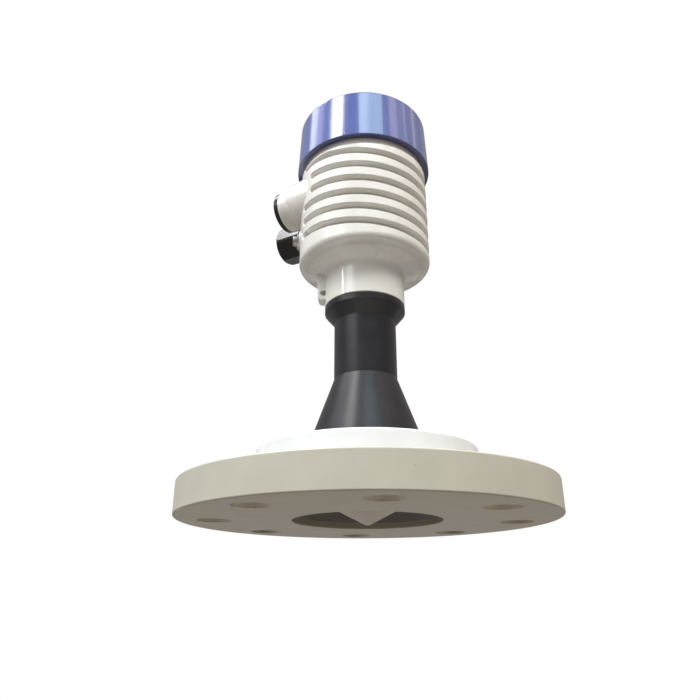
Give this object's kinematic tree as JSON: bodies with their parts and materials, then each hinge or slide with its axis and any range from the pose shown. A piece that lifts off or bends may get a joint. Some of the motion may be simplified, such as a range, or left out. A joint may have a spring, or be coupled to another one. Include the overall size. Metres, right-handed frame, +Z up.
{
  "type": "radar level transmitter",
  "caption": "Radar level transmitter: round finned housing with a windowed screw cover and two cable entries, on a plastic horn antenna with a lens and a bolted flange.",
  "frame": {"origin": "centre of the flange's lower sealing face, on the horn's axis", "axes": "+Z up along the horn's axis, away from the tank; the two cable entries point along -X"},
  "size_m": [0.2, 0.2, 0.2559],
  "materials": {
    "flange_plastic": "matte beige-grey plastic",
    "white_fluoroplastic": "smooth white fluoroplastic",
    "horn_plastic": "satin black plastic",
    "seal_rubber": "matte",
    "stainless": "bright turned steel",
    "guide_brass": "turned",
    "housing_paint": "off-white powder paint on cast aluminium",
    "gland_plastic": "satin black polyamide",
    "module_plastic": "matte dark plastic",
    "terminal_plastic": "matte green plastic",
    "screen_glass": "liquid crystal screen",
    "key_rubber": "matte key caps",
    "cover_paint": "blue gloss paint on cast aluminium",
    "window_glass": "clear safety glass"
  },
  "bodies": {
    "process_side": {"flange": "flange_plastic", "clamp_disc": "white_fluoroplastic", "disc_screws": "stainless", "horn": "horn_plastic", "foot_seal": "seal_rubber", "lens": "white_fluoroplastic", "lens_seal": "seal_rubber", "waveguide": "guide_brass", "radar_unit": "stainless", "neck_seal": "seal_rubber", "neck_circlip": "stainless"},
    "housing": {"housing": "housing_paint", "lock_screw": "stainless", "earth_clamp": "stainless", "earth_screw": "stainless", "blind_plug": "gland_plastic", "plug_seal": "seal_rubber", "gland_washer": "seal_rubber", "gland_body": "gland_plastic", "gland_insert": "seal_rubber", "gland_nut": "gland_plastic", "electronics_can": "module_plastic", "can_screws": "stainless", "terminal_block": "terminal_plastic", "terminal_screws": "stainless", "display_carrier": "module_plastic", "display": "module_plastic", "screen": "screen_glass"},
    "cover_rise": {"cover_seal": "seal_rubber"},
    "cover": {"cover": "cover_paint", "window": "window_glass", "window_gasket": "seal_rubber", "window_ring": "stainless"},
    "key_minus": {"key_minus": "key_rubber"},
    "key_plus": {"key_plus": "key_rubber"},
    "key_enter": {"key_enter": "key_rubber"}
  },
  "joints": [
    {"name": "housing_turn", "type": "hinge", "parent": "process_side", "child": "housing", "pos_m": [0, 0, 0.13], "axis": [0, 0, 1], "range_deg": [-175, 175]},
    {"name": "cover_lift", "type": "slide", "parent": "housing", "child": "cover_rise", "axis": [0, 0, 1], "range_m": [0, 0.018]},
    {"name": "cover_turn", "type": "hinge", "parent": "cover_rise", "child": "cover", "pos_m": [0, 0, 0.23], "axis": [0, 0, 1], "range_deg": [0, 3060]},
    {"name": "key_minus_press", "type": "slide", "parent": "housing", "child": "key_minus", "axis": [0, 0, -1], "range_m": [0, 0.001], "stiffness_N_per_m": 600, "springref_m": -0.0005},
    {"name": "key_plus_press", "type": "slide", "parent": "housing", "child": "key_plus", "axis": [0, 0, -1], "range_m": [0, 0.001], "stiffness_N_per_m": 600, "springref_m": -0.0005},
    {"name": "key_enter_press", "type": "slide", "parent": "housing", "child": "key_enter", "axis": [0, 0, -1], "range_m": [0, 0.001], "stiffness_N_per_m": 600, "springref_m": -0.0005}
  ],
  "couplings": [
    {"joint": "cover_lift", "follows": "cover_turn", "m_per_rad": 0.00031831}
  ]
}
